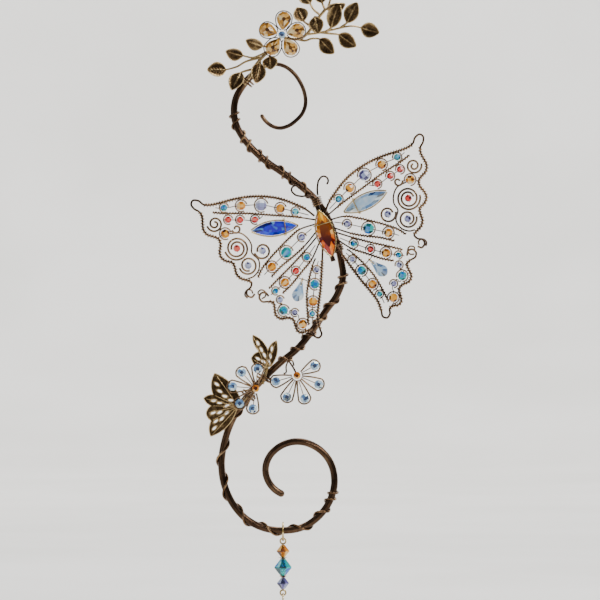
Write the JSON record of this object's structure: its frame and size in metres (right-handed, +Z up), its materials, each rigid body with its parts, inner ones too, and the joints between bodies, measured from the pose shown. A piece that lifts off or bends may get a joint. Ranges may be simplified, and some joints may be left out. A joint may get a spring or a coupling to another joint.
{
  "type": "butterfly ornament",
  "caption": "Hanging ornament: a wire and crystal butterfly on a wrapped scroll, with leaf sprigs, bead flowers and a swinging bead dangle.",
  "frame": {"origin": "inside crown of the top curl, where the ornament hangs on a hook", "axes": "+Z up, +X to the right as seen from the front, +Y to the back"},
  "size_m": [0.0999, 0.0188, 0.2736],
  "materials": {
    "bronze_wire": "dark antique bronze, brushed high points",
    "wrap_wire": "antique bronze, drawn wire",
    "antique_brass": "antiqued stamped brass, rubbed edges",
    "gilt_wire": "bright gilt wire",
    "teal_crystal": "cut, iridescent coat",
    "amber_crystal": "cut",
    "violet_crystal": "cut",
    "rose_crystal": "cut",
    "champagne_crystal": "cut",
    "fire_crystal": "cut, foiled back",
    "blue_crystal": "cut, iridescent coat",
    "clear_crystal": "cut"
  },
  "bodies": {
    "ornament": {"scroll_stem": "bronze_wire", "body_spine": "bronze_wire", "left_forewing_frame": "bronze_wire", "right_forewing_frame": "bronze_wire", "left_hindwing_frame": "bronze_wire", "right_hindwing_frame": "bronze_wire", "left_forewing_veins": "bronze_wire", "right_forewing_veins": "bronze_wire", "left_hindwing_veins": "bronze_wire", "right_hindwing_veins": "bronze_wire", "left_wing_spirals": "bronze_wire", "right_wing_spirals": "bronze_wire", "antennae": "bronze_wire", "left_bead_threads": "bronze_wire", "right_bead_threads": "bronze_wire", "flower_wires": "bronze_wire", "left_blossom_wires": "bronze_wire", "right_blossom_wires": "bronze_wire", "upper_stem_wrap": "wrap_wire", "middle_stem_wrap": "wrap_wire", "lower_stem_wrap": "wrap_wire", "thorax_coil": "wrap_wire", "butterfly_bindings": "wrap_wire", "sprig_tie": "wrap_wire", "leaf_ties": "wrap_wire", "left_leaf_sprig": "antique_brass", "right_leaf_sprig": "antique_brass", "lower_filigree_leaf": "antique_brass", "upper_filigree_leaf": "antique_brass", "wing_stone_rims": "gilt_wire", "wing_stone_clips": "gilt_wire", "body_stone_rim": "gilt_wire", "body_stone_clip": "gilt_wire", "wing_drop_rings": "gilt_wire", "left_teal_beads": "teal_crystal", "right_teal_beads": "teal_crystal", "left_amber_beads": "amber_crystal", "right_amber_beads": "amber_crystal", "blossom_centres": "amber_crystal", "left_violet_beads": "violet_crystal", "right_violet_beads": "violet_crystal", "left_rose_beads": "rose_crystal", "right_rose_beads": "rose_crystal", "flower_petals": "champagne_crystal", "body_stone": "fire_crystal", "left_wing_stone": "blue_crystal", "wing_drops": "clear_crystal", "right_wing_stone": "clear_crystal", "left_blossom_petals": "clear_crystal", "right_blossom_petals": "clear_crystal", "flower_centre": "clear_crystal"},
    "hanger": {"hanger_ring": "gilt_wire"},
    "pin": {"dangle_pin": "gilt_wire", "dangle_caps": "gilt_wire"},
    "amber_bead": {"amber_bicone": "amber_crystal"},
    "teal_bead": {"teal_bicone": "teal_crystal"},
    "grey_bead": {"grey_bicone": "violet_crystal"},
    "drop_loop": {"drop_ring": "gilt_wire"},
    "drop": {"drop_crystal": "clear_crystal"}
  },
  "joints": [
    {"name": "hanger_swing", "type": "hinge", "parent": "ornament", "child": "hanger", "pos_m": [0.00336, 0, -0.19516], "axis": [1, 0, 0], "range_deg": [-75, 75]},
    {"name": "pin_swing", "type": "hinge", "parent": "hanger", "child": "pin", "pos_m": [0.00336, 0, -0.19931], "axis": [0, 1, 0], "range_deg": [-50, 50]},
    {"name": "amber_spin", "type": "hinge", "parent": "pin", "child": "amber_bead", "pos_m": [0.00336, 0, -0.19931], "axis": [0, 0, 1], "continuous": true},
    {"name": "teal_spin", "type": "hinge", "parent": "pin", "child": "teal_bead", "pos_m": [0.00336, 0, -0.19931], "axis": [0, 0, 1], "continuous": true},
    {"name": "grey_spin", "type": "hinge", "parent": "pin", "child": "grey_bead", "pos_m": [0.00336, 0, -0.19931], "axis": [0, 0, 1], "continuous": true},
    {"name": "drop_loop_swing", "type": "hinge", "parent": "pin", "child": "drop_loop", "pos_m": [0.00336, 0, -0.22245], "axis": [1, 0, 0], "range_deg": [-60, 60]},
    {"name": "drop_swing", "type": "hinge", "parent": "drop_loop", "child": "drop", "pos_m": [0.00336, 0, -0.22675], "axis": [0, 1, 0], "range_deg": [-50, 50]}
  ]
}
